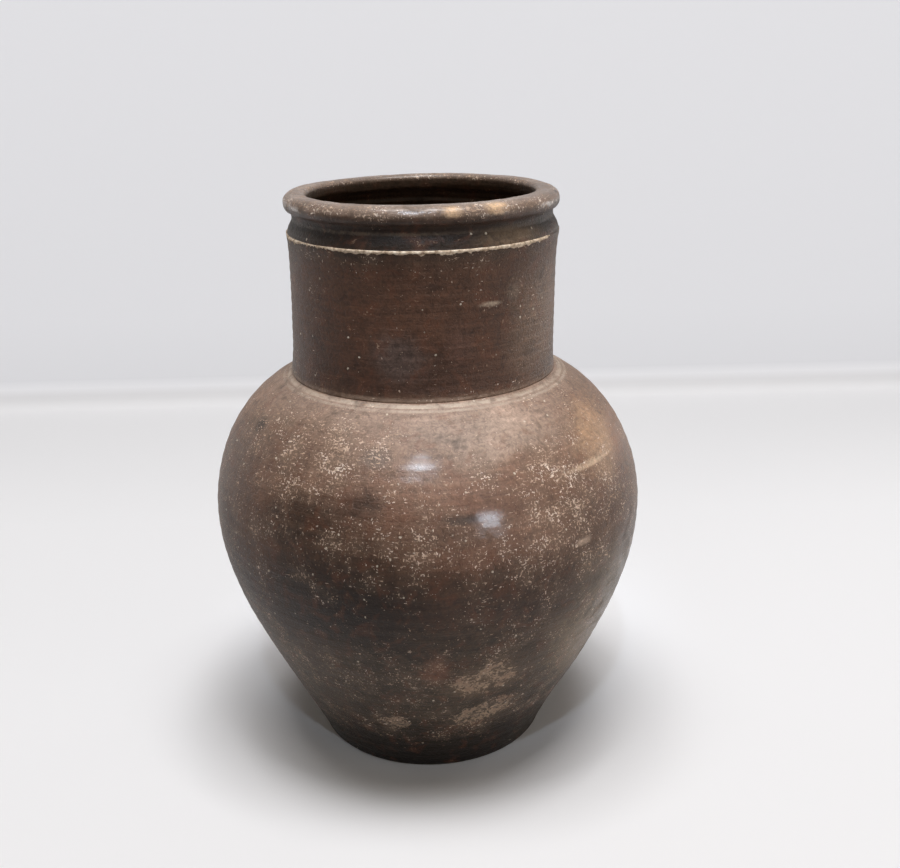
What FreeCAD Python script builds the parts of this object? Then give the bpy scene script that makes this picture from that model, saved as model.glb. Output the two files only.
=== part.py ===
"""Wheel-thrown stoneware storage jar: a pear-shaped body and a straight neck with a rolled lip.

The jar was thrown as two clay sections. The neck was luted to the body at the crease above the
shoulder, and the two were fired as one, so nothing moves. Sizes are in millimetres. +Z is up, and
the origin is the centre of the resting ring.
"""
import FreeCAD
import Part
import math
import os

# Body, outside: the seam with the neck, the belly, the foot and the straight runs beside the belly.
body_height = 226.5
belly_radius = 125.0
belly_height = 150.5
foot_radius = 68.7
lower_straight = 92.0
shoulder_straight = 7.0
foot_chamfer = 1.5

# Body, inside and under: clay thickness, floor, and the hollow inside the resting ring.
body_wall = 8.5
floor_thickness = 12.0
floor_rounding = 20.0
resting_ring_width = 13.0
base_hollow_depth = 2.0

# Line scored round the shoulder where the neck was luted on.
score_offset = 2.6
score_width = 1.4

# Neck: its wall, the foot that flares onto the shoulder, the flare up to the ledge, and the large
# radius that eases both flares into the straight wall.
neck_height = 100.5
neck_radius = 74.2
neck_wall = 7.8
neck_foot_flare = 1.2
neck_foot_height = 16.0
ledge_flare = 1.3
ledge_flare_height = 20.0
flare_easing = 30.0

# Ledge and cord groove. Drops are measured down from the top of the lip.
ledge_drop = 21.8
ledge_edge_chamfer = 0.5
groove_depth = 3.6
groove_radius = 4.5

# Rolled lip: how far it stands out past the neck, the radius of the roll, and the bead that
# narrows the bore at the mouth.
lip_overhang = 1.7
lip_roll_radius = 5.3
bead_width = 3.4
bead_drop = 6.5
bead_taper = 7.0
mouth_rounding = 3.0


def point(r, z):
    """Point of a turned outline: distance from the axis, and height."""
    return FreeCAD.Vector(r, 0, z)


def around(centre, radius, angle):
    """Point of the outline on a circle. The angle is in radians, up from straight outwards."""
    return centre + point(radius * math.cos(angle), radius * math.sin(angle))


class Outline:
    """Closed outline that is turned round Z, given stop by stop. A corner may be rounded off."""

    def __init__(self):
        self.stops = []

    def to(self, r, z, rounding=0.0):
        """Straight run to a corner."""
        self.stops.append((point(r, z), rounding, None))

    def arc(self, centre, radius, start, end):
        """Straight run to the start of an arc, and the arc round its centre to its end."""
        self.stops.append((around(centre, radius, start), 0.0, None))
        middle = around(centre, radius, (start + end) / 2)
        self.stops.append((around(centre, radius, end), 0.0, middle))

    def corner(self, index):
        """Where the outline reaches a corner, the middle of its rounding, and where it leaves."""
        here, rounding, _ = self.stops[index]
        if rounding <= 0.0:
            return here, None, here
        back = self.stops[index - 1][0] - here
        ahead = self.stops[(index + 1) % len(self.stops)][0] - here
        half_angle = back.getAngle(ahead) / 2
        reach = min(rounding / math.tan(half_angle), 0.49 * back.Length, 0.49 * ahead.Length)
        radius = reach * math.tan(half_angle)
        back.normalize()
        ahead.normalize()
        inward = back + ahead
        inward.normalize()
        middle = here + inward * (radius / math.sin(half_angle) - radius)
        return here + back * reach, middle, here + ahead * reach

    def turned(self):
        """Solid made by turning the outline once round the Z axis."""
        edges = []
        for index, (_, _, through) in enumerate(self.stops):
            start = self.corner(index - 1)[2]
            reached, middle, left = self.corner(index)
            if through is not None:
                edges.append(Part.Arc(start, through, reached).toShape())
            elif start.distanceToPoint(reached) > 1e-6:
                edges.append(Part.LineSegment(start, reached).toShape())
            if middle is not None:
                edges.append(Part.Arc(reached, middle, left).toShape())
        face = Part.Face(Part.Wire(edges))
        return face.revolve(FreeCAD.Vector(0, 0, 0), FreeCAD.Vector(0, 0, 1), 360)


class Swell:
    """Arc that stands upright at the belly and runs out into a straight wall that ends at a rim."""

    def __init__(self, rim_radius, rim_height, straight):
        inward = belly_radius - rim_radius
        upward = rim_height - belly_height
        self.radius = (inward ** 2 + upward ** 2 - straight ** 2) / (2 * inward)
        self.centre = point(belly_radius - self.radius, belly_height)
        toward_rim = math.atan2(upward, rim_radius - self.centre.x)
        self.angle = toward_rim - math.copysign(math.atan2(straight, self.radius), upward)

    def wall_radius(self, z, inset):
        """Radius of the straight wall at a height."""
        begin = around(self.centre, self.radius - inset, self.angle)
        return begin.x - (z - begin.z) * math.tan(self.angle)

    def wall_height(self, r, inset):
        """Height of the straight wall at a radius."""
        begin = around(self.centre, self.radius - inset, self.angle)
        return begin.z - (r - begin.x) / math.tan(self.angle)


seam_radius = neck_radius + neck_foot_flare
bore_radius = neck_radius - neck_wall
mouth_radius = bore_radius - bead_width
lip_radius = neck_radius + lip_overhang
lip_top = body_height + neck_height


def body():
    """Pear-shaped body, open at the top, on a resting ring round a slightly hollow base."""
    lower = Swell(foot_radius, 0.0, lower_straight)
    shoulder = Swell(seam_radius, body_height, shoulder_straight)
    outline = Outline()
    outline.to(0.0, floor_thickness)
    outline.to(0.0, base_hollow_depth)
    outline.to(foot_radius - resting_ring_width, 0.0)
    outline.to(foot_radius - foot_chamfer, 0.0)
    outline.to(lower.wall_radius(foot_chamfer, 0.0), foot_chamfer)
    outline.arc(lower.centre, lower.radius, lower.angle, 0.0)
    outline.arc(shoulder.centre, shoulder.radius, 0.0, shoulder.angle)
    outline.to(seam_radius, body_height)
    outline.to(bore_radius, body_height)
    outline.to(bore_radius, shoulder.wall_height(bore_radius, body_wall))
    outline.arc(shoulder.centre, shoulder.radius - body_wall, shoulder.angle, 0.0)
    outline.arc(lower.centre, lower.radius - body_wall, 0.0, lower.angle)
    floor_radius = lower.wall_radius(floor_thickness, body_wall)
    outline.to(floor_radius, floor_thickness, floor_rounding)
    return outline.turned().cut(scored_line(shoulder)).Solids[0]


def scored_line(shoulder):
    """Square ring that cuts the line scored into the shoulder just outside the seam."""
    inside = seam_radius + score_offset - score_width / 2
    outside = inside + score_width
    outline = Outline()
    outline.to(inside, body_height)
    outline.to(inside, shoulder.wall_height(inside, score_width / 2))
    outline.to(outside, shoulder.wall_height(outside, score_width / 2))
    outline.to(outside, body_height)
    return outline.turned()


def neck():
    """Neck with a ledge and a groove for the cover's cord, under a rolled lip."""
    ledge_radius = neck_radius + ledge_flare
    ledge = point(ledge_radius - ledge_edge_chamfer, lip_top - ledge_drop)
    roll = point(lip_radius - lip_roll_radius, lip_top - lip_roll_radius)
    across = ledge_radius - groove_depth + groove_radius - roll.x
    apart = lip_roll_radius + groove_radius
    groove = roll + point(across, -math.sqrt(apart ** 2 - across ** 2))
    roll_end = math.atan2(groove.z - roll.z, across)
    to_ledge = ledge - groove
    groove_start = math.atan2(to_ledge.z, to_ledge.x) + 2 * math.pi
    groove_start -= math.acos(groove_radius / to_ledge.Length)
    bead_end = lip_top - bead_drop

    outline = Outline()
    outline.to(bore_radius, body_height)
    outline.to(seam_radius, body_height)
    outline.to(neck_radius, body_height + neck_foot_height, flare_easing)
    outline.to(neck_radius, ledge.z - ledge_flare_height, flare_easing)
    outline.to(ledge_radius, ledge.z - ledge_edge_chamfer)
    outline.to(ledge.x, ledge.z)
    outline.arc(groove, groove_radius, groove_start, roll_end + math.pi)
    outline.arc(roll, lip_roll_radius, roll_end, math.pi / 2)
    outline.to(mouth_radius, lip_top, mouth_rounding)
    outline.to(mouth_radius, bead_end, mouth_rounding)
    outline.to(bore_radius, bead_end - bead_taper, bead_taper)
    return outline.turned()


os.makedirs("parts", exist_ok=True)
for name, solid in {"body": body(), "neck": neck()}.items():
    solid.exportStep("parts/" + name + ".step")
    print(name, solid.ShapeType, solid.isValid(), round(solid.Volume / 1000), "cm3")
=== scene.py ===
import math

import bpy
import numpy as np
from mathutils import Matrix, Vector, noise


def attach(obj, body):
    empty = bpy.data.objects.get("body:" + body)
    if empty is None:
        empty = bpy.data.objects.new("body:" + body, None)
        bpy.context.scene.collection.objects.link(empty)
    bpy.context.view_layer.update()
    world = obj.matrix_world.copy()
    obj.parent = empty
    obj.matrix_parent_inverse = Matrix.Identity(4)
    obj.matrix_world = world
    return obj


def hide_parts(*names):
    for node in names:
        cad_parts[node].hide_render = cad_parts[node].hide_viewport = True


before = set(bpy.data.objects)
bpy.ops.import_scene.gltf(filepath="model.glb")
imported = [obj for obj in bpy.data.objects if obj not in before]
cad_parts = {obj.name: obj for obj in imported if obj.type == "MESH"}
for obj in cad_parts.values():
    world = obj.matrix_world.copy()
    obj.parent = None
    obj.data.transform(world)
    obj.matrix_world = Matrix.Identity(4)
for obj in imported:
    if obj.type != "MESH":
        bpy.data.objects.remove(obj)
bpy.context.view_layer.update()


# Body, the lower of the two clay sections, from the foot to the crease under the neck. Coarse
# stoneware, thrown on a slow wheel and fired in a wood kiln, where smoke left dark bands. Its colour
# darkens towards the foot, partly the fired clay and partly painted shade. The wall swells and
# narrows a little wherever the potter's hands came to rest.

# Sizes of the turned outline, in mm and degrees.
body_height = 226.5
belly_radius = 125.0
belly_height = 150.5
seam_radius = 75.4
bore_radius = 66.4
body_wall = 8.5
floor_height = 12.0
floor_rounding = 20.0
foot_radius = 68.7
foot_rounding = 2.2
foot_edge_height = 1.5
ring_inside = 55.7
ring_outside = 66.6
base_hollow = 2.0
lower_wall_top = (109.23, 82.59)
lower_radius = 154.14
lower_angle = -26.14
lower_centre = (belly_radius - lower_radius, belly_height)
shoulder_radius = 82.53
shoulder_angle = 61.72
shoulder_centre = (belly_radius - shoulder_radius, belly_height)
floor_rounding_centre = (52.66, 32.0)
lower_wall_foot = (70.62, 23.19)
seam_underside = 221.7


def straight(start, end, spacing):
    """Stations along a straight run of the outline, in mm, without the run's first point."""
    count = max(1, round(math.dist(start, end) / spacing))
    across, up = end[0] - start[0], end[1] - start[1]
    return [(start[0] + across * i / count, start[1] + up * i / count) for i in range(1, count + 1)]


def swing(centre, radius, first, last, spacing):
    """Stations along an arc round its centre, from one angle to another in degrees."""
    count = max(2, round(abs(math.radians(last - first)) * radius / spacing))
    angles = [math.radians(first + (last - first) * i / count) for i in range(count + 1)]
    return [(centre[0] + radius * math.cos(a), centre[1] + radius * math.sin(a)) for a in angles]


def throw(name, stations, steps):
    """Draw a wall up station by station from one point, then turn it once round the wheel's axis."""
    start = (stations[0][0] / 1000, 0, stations[0][1] / 1000)
    bpy.ops.object.select_all(action="DESELECT")
    bpy.ops.mesh.primitive_plane_add(size=0.001, location=start)
    obj = bpy.context.object
    obj.name = name
    bpy.ops.object.mode_set(mode="EDIT")
    bpy.ops.mesh.merge(type="CENTER")
    for (r0, z0), (r1, z1) in zip(stations, stations[1:]):
        step = ((r1 - r0) / 1000, 0, (z1 - z0) / 1000)
        bpy.ops.mesh.extrude_vertices_move(TRANSFORM_OT_translate={"value": step})
    bpy.ops.object.mode_set(mode="OBJECT")
    bpy.ops.object.transform_apply(location=True, rotation=True, scale=True)
    turn = obj.modifiers.new("turn", "SCREW")
    turn.angle = 2 * math.pi
    turn.steps = turn.render_steps = steps
    bpy.ops.object.modifier_apply(modifier="turn")
    bpy.ops.object.mode_set(mode="EDIT")
    bpy.ops.mesh.select_all(action="SELECT")
    bpy.ops.mesh.remove_doubles(threshold=2e-6)
    bpy.ops.mesh.normals_make_consistent(inside=False)
    bpy.ops.object.mode_set(mode="OBJECT")
    bpy.ops.object.shade_smooth()
    return obj


def points_of(obj):
    """The mesh's points in mm, one row each."""
    flat = np.empty(len(obj.data.vertices) * 3, np.float32)
    obj.data.vertices.foreach_get("co", flat)
    return flat.reshape(-1, 3).astype(float) * 1000


def set_points(obj, points):
    """Give the mesh its points back."""
    obj.data.vertices.foreach_set("co", (points / 1000).astype(np.float32).ravel())
    obj.data.update()


def places(points):
    """Each point's distance from the axis, its angle round it from the front, and its height."""
    # The height is a view of the points, so it follows them when they move up or down.
    x, y, z = points.T
    return np.hypot(x, y), np.arctan2(x, -y), z


def uneven(points, grain, seed):
    """A smooth random value from about -1 to 1 at each point, for lumps of a size in mm."""
    return np.array([noise.noise(Vector(row)) for row in points / grain + seed * 7.3])


def sway(z):
    """How far the jar's own axis strays to the right at a height: no hand-thrown wall is true."""
    heights = (0, 28, 57, 85, 113, 142, 170, 198, 227, 240, 290, 305, 314, 327)
    strays = (-0.9, -0.7, 0.4, 0.6, 0.45, 0.2, 0.0, -0.6, -1.0, -0.45, 0.4, 0.9, 0.8, 0.2)
    return np.interp(z, heights, strays)


def move_out(points, distance):
    """Move each point away from the jar's axis by its own distance in mm."""
    r = np.maximum(np.hypot(points[:, 0], points[:, 1]), 1e-6)
    points[:, :2] *= (1 + distance / r)[:, None]


def mark_inside(obj, share):
    """Store how far each point belongs to the inside of the jar, for its material to read."""
    layer = obj.data.attributes.new("inside", "FLOAT", "POINT")
    layer.data.foreach_set("value", share.astype(np.float32))


def lean(points):
    """Set each ring of points over the jar's own, slightly straying axis."""
    points[:, 0] += sway(points[:, 2])
    points[:, 1] += 0.4 * np.sin(points[:, 2] / 60)


# Under the base, round the foot, up the outside, over the seam, and down the inside to the floor.
body_stations = [(0.0, base_hollow)]
body_stations += straight((0.0, base_hollow), (ring_inside, 0.0), 8.0)
body_stations += straight((ring_inside, 0.0), (ring_outside, 0.0), 3.5)
body_stations += swing((ring_outside, foot_rounding), foot_rounding, -75, -20, 1.0)
body_stations += straight((foot_radius, foot_edge_height), lower_wall_top, 1.9)
body_stations += swing(lower_centre, lower_radius, lower_angle, 0, 1.9)[1:]
body_stations += swing(shoulder_centre, shoulder_radius, 0, shoulder_angle, 1.9)[1:]
body_stations += straight(body_stations[-1], (seam_radius, body_height), 0.5)
body_stations += straight((seam_radius, body_height), (bore_radius, body_height), 3.0)
body_stations += straight((bore_radius, body_height), (bore_radius, seam_underside), 2.4)
body_stations += swing(shoulder_centre, shoulder_radius - body_wall, shoulder_angle, 0, 5.0)
body_stations += swing(lower_centre, lower_radius - body_wall, 0, lower_angle, 5.0)[1:]
body_stations += straight(body_stations[-1], lower_wall_foot, 6.0)
body_stations += swing(floor_rounding_centre, floor_rounding, -26, -90, 4.0)
body_stations += straight((floor_rounding_centre[0], floor_height), (0.0, floor_height), 9.0)
body = throw("thrown_body", body_stations, 400)

p = points_of(body)
r, angle, z = places(p)
wall_heights = (0, 82.59, 115, 150.5, 186, 215, 226.5)
wall_radii = (68.7, 109.2, 120.9, 125, 116.9, 93.9, 75.4)
outside = (r > np.interp(z, wall_heights, wall_radii) - 5) & (z > 0.5)
mark_inside(body, ~outside & (z > floor_height - 1))

# The wall swells where hands rested, rises in a spiral of ridges 7 mm apart, and is a little lumpy.
swell = 0.6 * np.cos(2 * math.pi * (z - 57) / 85) - 0.25 - 0.75 * np.exp(-((z - 150) / 32) ** 2)
ridges = 0.10 * np.cos(2 * math.pi * (z + 7 * angle / (2 * math.pi)) / 7 + 2 * uneven(p, 60, 1))
lumps = 0.38 * uneven(p, 38, 2) + 0.16 * uneven(p, 11, 3)
fade = np.clip((body_height - z) / 8, 0, 1) * np.clip(z / 5, 0, 1)
move_out(p, np.where(outside, (swell + ridges + lumps) * fade, 0.0))

# Two lines are scored into the shoulder beside the seam, the inner one deeper.
score = np.exp(-((r - 77.7) / 0.55) ** 2) + 0.6 * np.exp(-((r - 80.6) / 0.5) ** 2)
depth = 0.6 * score * (0.8 + 0.4 * uneven(p, 15, 4))
p[:, 2] -= np.where(outside & (z > 218), depth, 0.0)
lean(p)
set_points(body, p)
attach(body, "root")
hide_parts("body")


def linear(code):
    """The linear colour of an sRGB hex code."""
    parts = [int(code[i:i + 2], 16) / 255 for i in (1, 3, 5)]
    return tuple(c / 12.92 if c <= 0.04045 else ((c + 0.055) / 1.055) ** 2.4 for c in parts) + (1.0,)


def add(tree, kind, inputs={}, stops=None, **settings):
    """Add one node with its settings, and give each input its value or the socket that feeds it."""
    made = tree.nodes.new("ShaderNode" + kind)
    for name, value in settings.items():
        setattr(made, name, value)
    for key, value in inputs.items():
        if isinstance(value, bpy.types.NodeSocket):
            tree.links.new(value, made.inputs[key])
        else:
            made.inputs[key].default_value = value
    for index, (place, code) in enumerate(stops or []):
        marks = made.color_ramp.elements
        mark = marks[index] if index < 2 else marks.new(place)
        mark.position, mark.color = place, linear(code)
    return made


# Wood-fired stoneware: dense brown-black clay with a thin iron slip. The fire leaves a dry, satin
# skin in soft bands of red-brown and smoke black, shiny where ash has run or hands have rubbed. Grit
# stands up out of it, and years of dust and lime lie on it as a pale film and flecks.
def stoneware(name, low, high, drift, bands, stains_and_painted_light, rings, dusted, crusts, polish):
    """Skin of the fired clay. Bands run up the wall; all else has a place and a reach."""
    material = bpy.data.materials.new(name)
    material.use_nodes = True
    tree = material.node_tree
    tree.nodes.clear()
    here = add(tree, "TexCoord").outputs["Object"]
    mm = add(tree, "VectorMath", {0: here, 1: (1000, 1000, 1000)}, operation="MULTIPLY").outputs[0]

    # Clouds of the fire are 45 mm across, mottles of the slip 9 mm, and the grit of the clay 2.2 mm.
    cloud, mottle, grain = (
        add(tree, "TexNoise", {
            "Vector": mm, "Scale": 1 / size, "Detail": 5.0, "Roughness": 0.62, "Distortion": twist,
        })
        for size, twist in ((45, 0.0), (9, 0.6), (2.2, 1.0))
    )

    # The wheel draws everything out sideways: streaks 30 mm long and 1.5 mm high.
    flat = add(tree, "VectorMath", {0: mm, 1: (1 / 30, 1 / 30, 1 / 1.5)}, operation="MULTIPLY").outputs[0]
    streak = add(tree, "TexNoise", {"Vector": flat, "Scale": 1.0, "Detail": 3.0, "Roughness": 0.6})

    # Edges of stains wander with the clouds and break up into grains.
    middle = (0.5, 0.5, 0.5)
    wander = add(tree, "VectorMath", {0: cloud.outputs["Color"], 1: middle}, operation="SUBTRACT").outputs[0]
    wander = add(tree, "VectorMath", {0: wander, 1: drift, 2: mm}, operation="MULTIPLY_ADD").outputs[0]
    crumble = add(tree, "VectorMath", {0: grain.outputs["Color"], 1: middle}, operation="SUBTRACT").outputs[0]
    broken = tuple(d / 4 for d in drift)
    spot = add(tree, "VectorMath", {0: crumble, 1: broken, 2: wander}, operation="MULTIPLY_ADD").outputs[0]
    shaken = (2.5, 2.5, 2.5)
    loose = add(tree, "VectorMath", {0: crumble, 1: shaken, 2: mm}, operation="MULTIPLY_ADD").outputs[0]

    def near(centre, reach, amount):
        """How much of an amount is left at a point, falling off from a centre."""
        # A mark that is thinner than the wandering would be torn apart by it, so it keeps its place.
        field = loose if min(reach) < 9.5 else spot
        scale = tuple(1 / s for s in reach)
        back = tuple(-c / s for c, s in zip(centre, reach))
        away = add(tree, "VectorMath", {0: field, 1: scale, 2: back}, operation="MULTIPLY_ADD").outputs[0]
        far = add(tree, "VectorMath", {0: away}, operation="LENGTH").outputs["Value"]
        return add(tree, "MapRange", {
            "Value": far, "From Min": 1.2, "From Max": 0.3, "To Max": amount,
        }, interpolation_type="SMOOTHSTEP").outputs[0]

    # Bands up the wall from the foot, then stains over them: the colours of the firing and real marks,
    # with painted shade towards the foot, in the neck's groove and on the shoulder's left side, and
    # painted light on the lower right side and, besides its wear, on the lip's top.
    height = add(tree, "SeparateXYZ", {0: spot}).outputs["Z"]
    up = add(tree, "MapRange", {"Value": height, "From Min": low, "From Max": high}).outputs["Result"]
    marks = [((z - low) / (high - low), code) for z, code in bands]
    colour = add(tree, "ValToRGB", {0: up}, stops=marks).outputs["Color"]
    for centre, reach, code, cover in stains_and_painted_light:
        share = near(centre, reach, cover)
        colour = add(tree, "Mix", {
            "Factor": share, 6: colour, 7: linear(code),
        }, data_type="RGBA").outputs[2]
    within = add(tree, "Attribute", attribute_name="inside").outputs["Fac"]
    colour = add(tree, "Mix", {
        "Factor": within, 6: colour, 7: linear("#523f31"),
    }, data_type="RGBA").outputs[2]

    # Fly ash that set as thin crusts with flaked edges.
    ash = add(tree, "Math", {
        0: grain.outputs["Fac"], 1: 0.9, 2: mottle.outputs["Fac"],
    }, operation="MULTIPLY_ADD").outputs[0]
    for centre, reach, amount in crusts:
        ash = add(tree, "Math", {0: ash, 1: near(centre, reach, amount)}, operation="ADD").outputs[0]
    ash = add(tree, "MapRange", {
        "Value": ash, "From Min": 1.18, "From Max": 1.26, "To Max": 0.85,
    }).outputs[0]
    colour = add(tree, "Mix", {
        "Factor": ash, 6: colour, 7: linear("#9c8570"),
    }, data_type="RGBA").outputs[2]

    # Clouds, streaks and grit shade it all, and mottles of rust and soot lie over them.
    for source, least, most in ((cloud, 0.74, 1.26), (streak, 0.86, 1.14), (grain, 0.68, 1.32)):
        shade = add(tree, "MapRange", {
            "Value": source.outputs["Fac"], "From Min": 0.32, "From Max": 0.68,
            "To Min": least, "To Max": most,
        }).outputs[0]
        colour = add(tree, "VectorMath", {0: colour, 1: shade}, operation="MULTIPLY").outputs[0]
    for start, full, code, cover in ((0.52, 0.66, "#70432e", 0.35), (0.44, 0.32, "#241a15", 0.4)):
        share = add(tree, "MapRange", {
            "Value": mottle.outputs["Fac"], "From Min": start, "From Max": full, "To Max": cover,
        }).outputs[0]
        colour = add(tree, "Mix", {
            "Factor": share, 6: colour, 7: linear(code),
        }, data_type="RGBA").outputs[2]

    # What lies in rings has a distance from the axis and a height, and fades where soot lies.
    level = add(tree, "SeparateXYZ", {0: loose}).outputs["Z"]
    sideways = add(tree, "VectorMath", {0: loose, 1: (1, 1, 0)}, operation="MULTIPLY").outputs[0]
    across = add(tree, "VectorMath", {0: sideways}, operation="LENGTH").outputs["Value"]
    profile = add(tree, "CombineXYZ", {0: across, 1: level}).outputs[0]
    gap = add(tree, "MapRange", {
        "Value": mottle.outputs["Fac"], "From Min": 0.38, "From Max": 0.56, "To Min": 0.25,
    }).outputs[0]
    for radius, z, width, code, cover in rings:
        off = add(tree, "VectorMath", {0: profile, 1: (radius, z, 0)}, operation="DISTANCE").outputs["Value"]
        share = add(tree, "MapRange", {
            "Value": off, "From Min": width, "From Max": width * 0.35, "To Max": cover,
        }).outputs[0]
        share = add(tree, "Math", {0: share, 1: gap}, operation="MULTIPLY").outputs[0]
        colour = add(tree, "Mix", {
            "Factor": share, 6: colour, 7: linear(code),
        }, data_type="RGBA").outputs[2]

    # Dust and lime gather in patches 17 mm across, and less of them inside: a film, and over it short
    # flecks that lie along the wall or run down it.
    patch = add(tree, "TexNoise", {"Vector": mm, "Scale": 1 / 17, "Detail": 4.0, "Roughness": 0.65})
    heap = add(tree, "Math", {
        0: within, 1: -0.5, 2: patch.outputs["Fac"],
    }, operation="MULTIPLY_ADD").outputs[0]
    for centre, reach, amount in dusted:
        heap = add(tree, "Math", {0: heap, 1: near(centre, reach, amount)}, operation="ADD").outputs[0]
    film = add(tree, "MapRange", {
        "Value": heap, "From Min": 0.45, "From Max": 0.85, "To Max": 0.32,
    }).outputs[0]
    colour = add(tree, "Mix", {
        "Factor": film, 6: colour, 7: linear("#9c8470"),
    }, data_type="RGBA").outputs[2]
    strokes = []
    for shape in ((1 / 2.6, 1 / 2.6, 1 / 0.9), (1 / 0.9, 1 / 0.9, 1 / 2.2)):
        drawn = add(tree, "VectorMath", {0: mm, 1: shape}, operation="MULTIPLY").outputs[0]
        stroke = add(tree, "TexNoise", {"Vector": drawn, "Scale": 1.0, "Detail": 2.0, "Roughness": 0.6})
        strokes.append(stroke.outputs["Fac"])
    stroke = add(tree, "Math", {0: strokes[0], 1: strokes[1]}, operation="MAXIMUM").outputs[0]
    fleck = add(tree, "Math", {0: heap, 1: 0.37, 2: stroke}, operation="MULTIPLY_ADD").outputs[0]
    fleck = add(tree, "MapRange", {
        "Value": fleck, "From Min": 0.85, "From Max": 0.885, "To Max": 0.95,
    }).outputs[0]
    chalks = [(0.38, "#9e806b"), (0.5, "#cbad96"), (0.62, "#efdccb")]
    lime = add(tree, "ValToRGB", {0: mottle.outputs["Fac"]}, stops=chalks).outputs["Color"]
    colour = add(tree, "Mix", {"Factor": fleck, 6: colour, 7: lime}, data_type="RGBA").outputs[2]

    # Crumbs of lime, 1 to 2 mm across: the cells are 6.5 mm wide, and a third of them hold one.
    crumb = add(tree, "TexVoronoi", {"Vector": mm, "Scale": 1 / 6.5, "Randomness": 1.0})
    size = add(tree, "Math", {
        0: grain.outputs["Fac"], 1: 0.35, 2: crumb.outputs["Distance"],
    }, operation="MULTIPLY_ADD").outputs[0]
    speck = add(tree, "MapRange", {
        "Value": size, "From Min": 0.28, "From Max": 0.24, "To Max": 0.85,
    }).outputs[0]
    lot = add(tree, "SeparateXYZ", {0: crumb.outputs["Color"]}).outputs[0]
    rare = add(tree, "MapRange", {"Value": lot, "From Min": 0.66, "From Max": 0.72}).outputs[0]
    speck = add(tree, "Math", {0: speck, 1: rare}, operation="MULTIPLY").outputs[0]
    colour = add(tree, "Mix", {
        "Factor": speck, 6: colour, 7: linear("#d6c6b2"),
    }, data_type="RGBA").outputs[2]

    # The skin is satin where it is bare and dull where flecks lie. Ash and hands gave it a shine in
    # places, broken up by the mottles, and the inside has some of it all over.
    rough = add(tree, "MapRange", {
        "Value": grain.outputs["Fac"], "From Min": 0.3, "From Max": 0.7, "To Min": 0.4, "To Max": 0.58,
    }).outputs["Result"]
    rough = add(tree, "Math", {
        0: fleck, 1: 0.3, 2: rough,
    }, operation="MULTIPLY_ADD", use_clamp=True).outputs[0]
    shine = add(tree, "Math", {0: within, 1: 0.5}, operation="MULTIPLY").outputs[0]
    for centre, reach, amount in polish:
        shine = add(tree, "Math", {
            0: shine, 1: near(centre, reach, amount),
        }, operation="ADD", use_clamp=True).outputs[0]
    patchy = add(tree, "MapRange", {
        "Value": mottle.outputs["Fac"], "From Min": 0.36, "From Max": 0.56,
    }).outputs[0]
    shine = add(tree, "Math", {0: shine, 1: patchy}, operation="MULTIPLY").outputs[0]

    # Relief: grit and crumbs stand up by 0.2 mm, the flecks by a little less.
    relief = add(tree, "Math", {
        0: streak.outputs["Fac"], 1: 0.5, 2: grain.outputs["Fac"],
    }, operation="MULTIPLY_ADD").outputs[0]
    relief = add(tree, "Math", {0: fleck, 1: 0.25, 2: relief}, operation="MULTIPLY_ADD").outputs[0]
    relief = add(tree, "Math", {0: speck, 1: 0.4, 2: relief}, operation="MULTIPLY_ADD").outputs[0]
    bump = add(tree, "Bump", {"Height": relief, "Strength": 0.9, "Distance": 0.0006}).outputs["Normal"]
    worn = add(tree, "Bump", {"Height": relief, "Strength": 0.14, "Distance": 0.0006}).outputs["Normal"]
    shader = add(tree, "BsdfPrincipled", {
        "Base Color": colour, "Roughness": rough, "IOR": 1.5, "Specular IOR Level": 0.32, "Normal": bump,
        "Coat Weight": shine, "Coat Roughness": 0.24, "Coat Normal": worn,
        "Sheen Weight": 0.12, "Sheen Roughness": 0.25, "Sheen Tint": linear("#eadfce"),
    })
    add(tree, "OutputMaterial", {"Surface": shader.outputs["BSDF"]})
    return material


# Heights in mm with the colour there; then marks as a centre, a reach, and a colour or an amount.
# Darker towards the foot: partly the clay's fired colour, partly painted shade of the lower body.
body_bands_and_painted_shade = [
    (0, "#17110c"), (24, "#241c15"), (55, "#41362b"), (95, "#45372a"), (128, "#443228"),
    (150, "#513a2c"), (172, "#5f4435"), (192, "#775847"), (212, "#856a59"), (224, "#9b8272"),
    (230, "#8a7060"),
]
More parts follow.
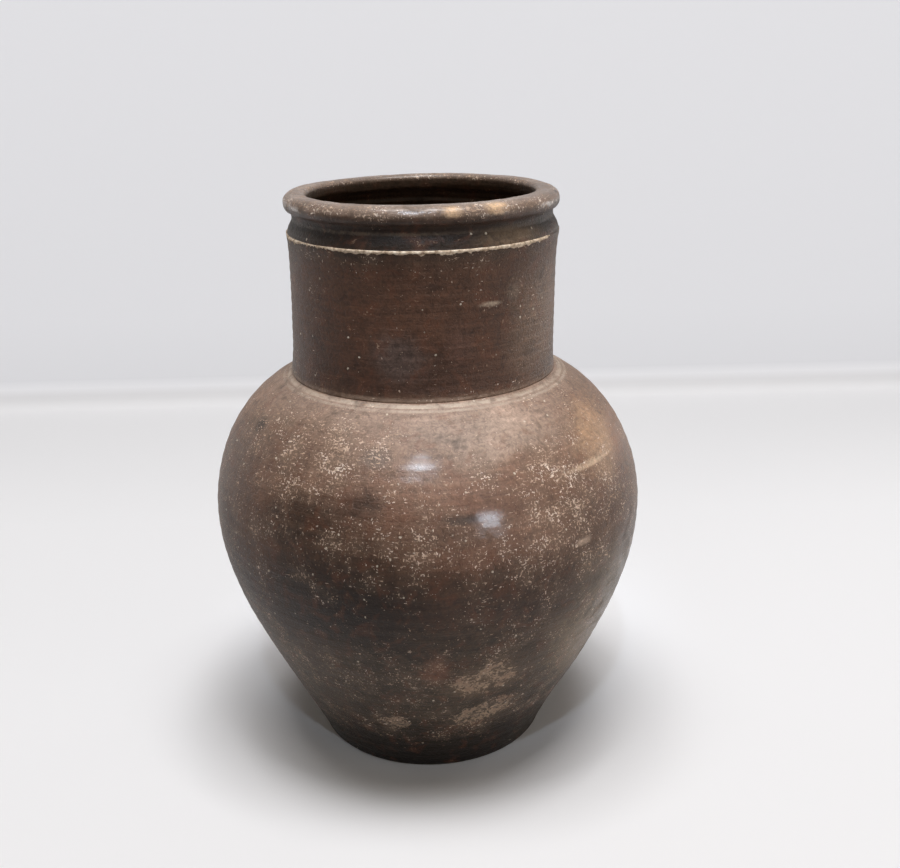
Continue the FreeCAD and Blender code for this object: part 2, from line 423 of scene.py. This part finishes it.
# Stains and marks of the clay, with two entries of painted shade and painted light, noted where they stand.
body_stains_and_painted_light = [
    ((-62, -100, 172), (46, 36, 20), "#34261d", 0.7),
    ((-52, -108, 130), (54, 36, 34), "#271e18", 0.72),
    ((-70, -75, 203), (40, 40, 14), "#6a5143", 0.6),
    ((35, -85, 213), (60, 30, 12), "#a8907f", 0.7),
    ((92, -55, 198), (22, 34, 20), "#b08c6c", 0.7),
    ((50, -108, 166), (40, 20, 14), "#83604d", 0.5),
    ((-90, -48, 208), (7, 7, 6), "#241c18", 0.85),
    ((-26, -100, 206), (10, 9, 6), "#57504e", 0.55),
    ((81, -95, 155), (7, 7, 2.6), "#dcbda6", 0.6),
    ((0, -114, 92), (11, 10, 13), "#784e3a", 0.8),
    ((30, -104, 80), (26, 22, 17), "#6f5a48", 0.7),
    ((28, -88, 48), (28, 22, 15), "#5c4e42", 0.6),
    ((20, -122, 160), (34, 12, 9), "#6f4a38", 0.5),
    ((17, -120, 179), (12, 10, 3), "#2f2723", 0.75),
    ((86, -74, 190.5), (22, 26, 1.9), "#d2b598", 0.75),
    # Painted light: the lower right side made paler, standing in for the light and sheen from the right.
    ((90, -66, 100), (38, 50, 56), "#82725f", 0.6),
    # Painted shade: the shoulder's left side darkened where it turns from the light.
    ((-112, -45, 186), (26, 50, 30), "#4a392f", 0.5),
    ((-30, -111, 186), (18, 14, 10), "#3a2b23", 0.6),
    ((60, 110, 165), (60, 40, 26), "#33261e", 0.7),
    ((-70, 90, 195), (50, 40, 18), "#a08571", 0.6),
    ((-90, 60, 90), (50, 40, 30), "#6e5546", 0.5),
]
body_rings = [(77.7, 225.0, 2.0, "#c8b4a1", 0.85), (80.6, 223.4, 1.5, "#c8b4a1", 0.6)]
body_dust = [
    ((-60, -90, 200), (60, 50, 24), 0.13),
    ((75, -80, 180), (50, 60, 45), 0.12),
    ((20, -105, 70), (50, 30, 34), -0.04),
    ((30, -115, 168), (80, 40, 14), 0.10),
    ((0, 0, 0), (200, 200, 26), -0.4),
    ((0, 0, 114), (400, 400, 26), -0.05),
    ((-60, -100, 118), (50, 50, 28), -0.1),
    ((20, -90, 218), (60, 60, 12), -0.12),
]
body_crusts = [
    ((32, -104, 82), (30, 24, 18), 0.28),
    ((26, -90, 50), (24, 18, 15), 0.34),
    ((-22, -90, 46), (14, 12, 10), 0.34),
    ((0, -114, 92), (8, 9, 12), 0.2),
    ((50, 95, 60), (40, 30, 20), 0.3),
]
body_polish = [
    ((-3, -108, 201), (14, 12, 12), 1.0),
    ((30, -117, 176), (13, 9, 9), 1.0),
    ((108, -40, 105), (40, 70, 60), 0.55),
]
body.data.materials.append(stoneware(
    "wood_fired_stoneware_body", low=0, high=230, drift=(44, 44, 30), bands=body_bands_and_painted_shade,
    stains_and_painted_light=body_stains_and_painted_light, rings=body_rings, dusted=body_dust, crusts=body_crusts, polish=body_polish,
))


# Neck, the upper clay section: a straight collar luted to the body, with a ledge and a groove for
# the cover's cord under a rolled lip. Same clay, fired darker. Inside, the potter's fingers left
# close rings.

# Sizes of the collar and the lip, in mm. The roll runs into the groove where their slopes agree.
neck_radius = 74.2
neck_foot_flare = 1.2
ledge_flare = 1.3
ledge_edge = (75.2, 305.1)
groove_start = (74.0, 308.6)
groove_centre = (76.4, 313.8)
groove_radius = 4.5
roll_centre = (70.6, 321.7)
roll_radius = 5.3
lip_top = 327.0
mouth_radius = 63.0
mouth_rounding = 3.0
bead_end = 321.5
bead_step = 1.7
bead_taper = 8


def collar_radius(height):
    """Outside of the collar, which flares a little at its foot and up to the ledge."""
    foot = neck_foot_flare * max(0, (246 - height) / 19.5) ** 2
    ledge = ledge_flare * max(0, (height - 284) / 20.7) ** 2
    return neck_radius + foot + ledge


# Over the seam, up the outside of the collar, round the groove and the lip, and down the inside.
neck_stations = [(bore_radius, body_height)]
neck_stations += straight((bore_radius, body_height), (seam_radius, body_height), 3.0)
neck_stations += [(collar_radius(height), height) for height in np.linspace(227.4, 304.7, 62)]
neck_stations += [ledge_edge]
neck_stations += straight(ledge_edge, groove_start, 0.6)
neck_stations += swing(groove_centre, groove_radius, 212, 126.3, 0.6)
neck_stations += swing(roll_centre, roll_radius, -53.7, 90, 0.6)[1:]
mouth_edge = mouth_radius + mouth_rounding
neck_stations += straight((roll_centre[0], lip_top), (mouth_edge, lip_top), 0.8)
neck_stations += swing((mouth_edge, lip_top - mouth_rounding), mouth_rounding, 90, 180, 0.6)[1:]
neck_stations += straight((mouth_radius, lip_top - mouth_rounding), (mouth_radius, bead_end), 0.9)
neck_stations += [
    (mouth_radius + bead_step * (1 - math.cos(math.pi * i / bead_taper)), bead_end - i)
    for i in range(1, bead_taper + 1)
]
neck_stations += straight((bore_radius, bead_end - bead_taper), (bore_radius, body_height), 1.05)[:-1]
neck = throw("thrown_neck", neck_stations + [neck_stations[0]], 432)

p = points_of(neck)
r, angle, z = places(p)
inner = (r < 67.5) & (z > 228) & (z < 320)
outer = (r > 70) & (z > 227)
mark_inside(neck, (r < 67.2) * np.clip((325.5 - z) / 3, 0, 1))

# Fingers left a spiral 4.2 mm from turn to turn inside, and fainter bands 5.5 mm apart outside.
fingers = 0.45 * np.cos(2 * math.pi * (z / 4.2 - angle / (2 * math.pi)) + 1.5 * uneven(p, 50, 5))
move_out(p, np.where(inner, fingers * np.clip((z - 228) / 6, 0, 1), 0.0))
ribs = 0.09 * np.cos(2 * math.pi * z / 5.5 + 2.5 * uneven(p, 70, 6))
ribs = ribs + 0.25 * uneven(p, 32, 7) + 0.10 * uneven(p, 9, 8)
move_out(p, np.where(outer, ribs * np.clip((z - 227) / 5, 0, 1), 0.0))

# The lip is worn down unevenly, and near the front a flat is worn into its outer edge. The flat
# faces outwards and up at 31 degrees, so these are that angle's cosine and sine.
flat_out = 0.857
flat_up = 0.515
top = z > 318
p[:, 2] -= np.where(top, 0.35 + 0.35 * uneven(p, 30, 9) + 0.15 * uneven(p, 6, 10), 0.0)
worn_depth = 0.45 * np.exp(-((angle + 0.07) / 0.12) ** 2)
proud = (r - roll_centre[0]) * flat_out + (z - roll_centre[1]) * flat_up - roll_radius + worn_depth
proud = np.where(top & (r > roll_centre[0]), np.maximum(proud, 0), 0.0)
move_out(p, -flat_out * proud)
p[:, 2] -= flat_up * proud
lean(p)
p[:, 2] = np.minimum(p[:, 2], lip_top)
set_points(neck, p)
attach(neck, "root")
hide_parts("neck")

# The groove and the roll's underside are darker as painted shade; the lip's top is paler, partly wear and
# partly painted light.
neck_bands_and_painted_shading = [
    (226, "#6c5242"), (232, "#4b3327"), (262, "#54392b"), (295, "#543a2c"), (303, "#4a382c"),
    (305.5, "#33261d"), (312, "#281c15"), (317, "#38281f"), (321, "#4e3b30"), (324, "#6c584b"),
    (326.5, "#8a776a"),
]
neck_stains = [
    ((-13, -73, 250), (18, 12, 16), "#5b504b", 0.45),
    ((18, -72, 256), (9, 8, 14), "#63463a", 0.5),
    ((34, -66, 276), (8, 6, 1.6), "#b09b86", 0.8),
    ((47, -58, 280), (6, 6, 5), "#806c5c", 0.6),
    ((62, -42, 262), (26, 34, 40), "#7c6452", 0.65),
    ((46, -58, 309), (26, 26, 6), "#6e5a47", 0.75),
    ((39, -66, 324.5), (9, 7, 3.6), "#dcb68f", 1.0),
    ((16, -75, 324.5), (6, 6, 3.6), "#d6b08a", 1.0),
    ((-5, 54, 327), (4, 5, 4), "#b9a999", 0.8),
    ((31, 38, 327), (5, 5, 4), "#b9a999", 0.7),
    ((74, -15, 325), (4, 4, 5), "#1c1613", 0.9),
    ((30, 66, 270), (30, 30, 30), "#5a4638", 0.5),
]
neck_rings = [
    (76.0, 227.5, 2.2, "#a08976", 0.5),
    (72.0, 313.0, 1.2, "#6f5f50", 0.5),
    (75.6, 323.5, 1.8, "#a58c7c", 0.5),
]
neck_dust = [
    ((50, -55, 265), (22, 22, 40), 0.06),
    ((0, 0, 262), (400, 400, 44), -0.2),
    ((0, 0, 311), (400, 400, 9), -0.3),
    ((0, 0, 324), (400, 400, 4), 0.14),
]
neck_polish = [
    ((0, 0, 325), (400, 400, 7), 0.8),
    ((-5, -75, 324.5), (12, 9, 6), 1.0),
]
neck.data.materials.append(stoneware(
    "wood_fired_stoneware_neck", low=226, high=328, drift=(16, 16, 4), bands=neck_bands_and_painted_shading,
    stains_and_painted_light=neck_stains, rings=neck_rings, dusted=neck_dust, crusts=[], polish=neck_polish,
))


# Burr on the ledge: clay and lime that were pressed out along the ledge's edge and left to dry
# there. It hangs over the edge in small scallops, chalky and paler than the wall.

burr_centre = (75.3, 304.7)
burr_radius = 0.8
burr_outside = (75.45, 303.9)
burr_tip = (74.8, 302.4)
burr_root = (73.6, 303.0)
burr_top = (74.3, 305.0)
burr_stations = swing(burr_centre, burr_radius, 165, -80, 0.2)
burr_stations += straight(burr_outside, burr_tip, 0.3)
burr_stations += straight(burr_tip, burr_root, 0.6)
burr_stations += straight(burr_root, burr_top, 0.6)
burr = throw("ledge_burr", burr_stations + [burr_stations[0]], 1200)

# It hangs by lengths that change along the ledge, and sinks into the wall where it has broken off.
p = points_of(burr)
_, angle, z = places(p)
ring = np.stack([75 * np.sin(angle), -75 * np.cos(angle), np.zeros(len(angle))], 1)
long = uneven(ring, 9, 11) + 0.7 * uneven(ring, 2.6, 12)
hang = np.clip((304.6 - z) / 1.8, 0, 1)
p[:, 2] -= hang * np.clip(0.3 + 2.6 * long, -0.5, 2.7)
kept = np.clip(0.75 + 1.2 * uneven(ring, 22, 15) + 0.8 * np.cos(angle), 0, 1)
move_out(p, 0.25 * uneven(p, 2.0, 13) + 0.12 * uneven(p, 0.9, 14) - 1.6 * (1 - kept))
lean(p)
set_points(burr, p)
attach(burr, "root")

# Dried lime: crumbly, matt and paler than anything round it, so the ledge reads as a broken line.
chalk = bpy.data.materials.new("dried_lime_burr")
chalk.use_nodes = True
tree = chalk.node_tree
tree.nodes.clear()
here = add(tree, "TexCoord").outputs["Object"]
mm = add(tree, "VectorMath", {0: here, 1: (1000, 1000, 1000)}, operation="MULTIPLY").outputs[0]
crumb = add(tree, "TexNoise", {"Vector": mm, "Scale": 1 / 2.5, "Detail": 5.0, "Roughness": 0.65})
chalks = [(0.34, "#8a705c"), (0.46, "#c9b096"), (0.62, "#eedcc6")]
tone = add(tree, "ValToRGB", {0: crumb.outputs["Fac"]}, stops=chalks)
bump = add(tree, "Bump", {"Height": crumb.outputs["Fac"], "Strength": 0.7, "Distance": 0.0005})
shader = add(tree, "BsdfPrincipled", {
    "Base Color": tone.outputs["Color"], "Roughness": 0.85, "IOR": 1.5, "Normal": bump.outputs["Normal"],
})
add(tree, "OutputMaterial", {"Surface": shader.outputs["BSDF"]})
burr.data.materials.append(chalk)


# Floor and backdrop: one sheet of pale paper that lies flat and bends up behind the jar. Where a
# point is on the sheet, and which kind of ray meets it, settle its tone.

paper_size = 6
wall_distance = 0.66
wall_height = 2.5
bend_radius = 0.03


def at_bend(vertex):
    """Whether a point lies on the line along which the paper bends up."""
    return abs(vertex.co.y - wall_distance) < 1e-4 and abs(vertex.co.z) < 1e-4


bpy.ops.object.select_all(action="DESELECT")
bpy.ops.mesh.primitive_plane_add(size=paper_size, location=(0, wall_distance - paper_size / 2, 0))
paper = bpy.context.object
paper.name = "paper_sweep"
bpy.ops.object.mode_set(mode="EDIT")
bpy.ops.mesh.select_mode(type="EDGE")
bpy.ops.mesh.select_all(action="DESELECT")
bpy.ops.object.mode_set(mode="OBJECT")
for edge in paper.data.edges:
    edge.select = all(paper.data.vertices[i].co.y > 0 for i in edge.vertices)
bpy.ops.object.mode_set(mode="EDIT")
bpy.ops.mesh.extrude_region_move(TRANSFORM_OT_translate={"value": (0, 0.0, wall_height)})
bpy.ops.object.mode_set(mode="OBJECT")
bpy.ops.object.transform_apply(location=True, rotation=True, scale=True)
for edge in paper.data.edges:
    edge.select = all(at_bend(paper.data.vertices[i]) for i in edge.vertices)
for vertex in paper.data.vertices:
    vertex.select = at_bend(vertex)
bpy.ops.object.mode_set(mode="EDIT")
bpy.ops.mesh.bevel(offset=bend_radius, segments=8, affect="EDGES")
bpy.ops.object.mode_set(mode="OBJECT")
bpy.ops.object.shade_smooth()

# Pale matt paper, nearly white to the eye, with painted shade: a little darker far back and where it bends.
sheet = bpy.data.materials.new("pale_matt_paper")
sheet.use_nodes = True
tree = sheet.node_tree
tree.nodes.clear()
here = add(tree, "TexCoord").outputs["Object"]
path = add(tree, "LightPath")
seen = path.outputs["Is Camera Ray"]
back = add(tree, "SeparateXYZ", {0: here}).outputs["Y"]
rise = add(tree, "SeparateXYZ", {0: here}).outputs["Z"]
far_back_shade = add(tree, "MapRange", {"Value": back, "From Min": 0.3, "From Max": 0.66}).outputs["Result"]
plain = add(tree, "Mix", {
    "Factor": far_back_shade, 6: linear("#f0f0f3"), 7: linear("#e5e5e8"),
}, data_type="RGBA").outputs[2]
bend_shade = add(tree, "MapRange", {"Value": rise, "From Min": 0.0, "From Max": 0.03}).outputs["Result"]
plain = add(tree, "Mix", {
    "Factor": bend_shade, 6: plain, 7: linear("#88888a"),
}, data_type="RGBA").outputs[2]

# To the jar the paper in front is dark, so that its lower half stays as deep as in the photograph,
# and the upright part throws less light on the floor.
edge = add(tree, "MapRange", {"Value": back, "From Min": -0.6, "From Max": -0.1}).outputs["Result"]
glow = add(tree, "Mix", {
    "Factor": edge, 6: linear("#2c2c2e"), 7: linear("#e9e9ec"),
}, data_type="RGBA").outputs[2]
upright = add(tree, "MapRange", {"Value": rise, "From Min": 0.0, "From Max": 0.06}).outputs["Result"]
scattered = path.outputs["Is Diffuse Ray"]
dimmed = add(tree, "Math", {0: upright, 1: scattered}, operation="MULTIPLY").outputs[0]
glow = add(tree, "Mix", {
    "Factor": dimmed, 6: glow, 7: linear("#565658"),
}, data_type="RGBA").outputs[2]
tone = add(tree, "Mix", {"Factor": seen, 6: glow, 7: plain}, data_type="RGBA").outputs[2]

# Straight to the eye the upright part shows pale without being lit.
greys = [
    (0.0, "#000000"), (0.01, "#555556"), (0.02, "#b3b3b5"), (0.03, "#c6c6c8"), (0.1, "#cccccf"),
    (0.45, "#d4d4d6"),
]
wall = add(tree, "ValToRGB", {0: rise}, stops=greys).outputs["Color"]
lift = add(tree, "Math", {0: wall, 1: seen}, operation="MULTIPLY").outputs[0]
shader = add(tree, "BsdfPrincipled", {
    "Base Color": tone, "Roughness": 0.8, "Emission Color": linear("#f2f2f6"), "Emission Strength": lift,
})
add(tree, "OutputMaterial", {"Surface": shader.outputs["BSDF"]})
paper.data.materials.append(sheet)


# Light: two soft panels high overhead that cast the two shadows, a low warm panel at the right, two
# weak ones behind that edge the jar, and two small cool lamps in front that give it its highlights.
# Together they stand at the level at which a colour renders about as it is written.

warm = (1, 0.96, 0.92)
cool = (0.75, 0.87, 1)


def panel(name, place, target, size, power, colour=(1, 1, 1), spread=180):
    """A soft panel that faces a point, with its light held to a spread in degrees."""
    light = bpy.data.lights.new(name, "AREA")
    light.shape = "RECTANGLE"
    light.size, light.size_y = size
    light.energy = power
    light.color = colour
    light.spread = math.radians(spread)
    obj = bpy.data.objects.new(name, light)
    bpy.context.collection.objects.link(obj)
    obj.location = place
    obj.rotation_euler = (Vector(target) - Vector(place)).to_track_quat("-Z", "Y").to_euler()


panel("ceiling_right", (0.55, -0.5, 4.1), (0, 0, 0.1), (1.5, 1.3), 91)
panel("ceiling_left", (-0.6, -0.3, 4.1), (0, 0, 0.1), (1.5, 1.3), 58)
panel("right_panel", (1.15, -0.6, 0.2), (0, 0, 0.1), (0.8, 0.3), 1.3, (1, 0.95, 0.89), 120)
panel("back_right", (0.85, 0.56, 0.2), (0, 0, 0.12), (0.3, 0.3), 0.12, warm, 40)
panel("back_left", (-0.85, 0.56, 0.2), (0, 0, 0.12), (0.3, 0.3), 0.06, warm, 40)
panel("front_lamp", (-0.08, -1.14, 1.66), (0, -0.09, 0.265), (0.12, 0.12), 0.046, cool, 8)
panel("far_window", (0.82, -1.39, 0.49), (0.02, -0.1, 0.18), (0.08, 0.08), 0.0065, cool, 5)

# The room beyond the paper is a dim brown to the jar, and pale where the eye looks straight at it.
world = bpy.data.worlds.new("even_light")
bpy.context.scene.world = world
world.use_nodes = True
tree = world.node_tree
straight_seen = add(tree, "LightPath").outputs["Is Camera Ray"]
sky = add(tree, "Mix", {
    "Factor": straight_seen, 6: linear("#6c655b"), 7: linear("#dbdadf"),
}, data_type="RGBA").outputs[2]
tree.links.new(sky, tree.nodes["Background"].inputs["Color"])


# Camera: the photograph's eye, in front of the jar and looking down at it by a fifth of a right
# angle, held a degree out of level. Angles are in radians.

look_down = 0.34
look_right = 0.0219
out_of_level = 0.019
lens = bpy.data.cameras.new("eye")
lens.sensor_width = 36
lens.lens = 44.97
eye = bpy.data.objects.new("eye", lens)
bpy.context.collection.objects.link(eye)
eye.location = (0, -0.6281, 0.4050)
eye.rotation_euler = (math.pi / 2 - look_down, 0, -look_right)
eye.rotation_euler.rotate_axis("Z", -out_of_level)
bpy.context.scene.camera = eye
bpy.context.scene.view_settings.view_transform = "Standard"
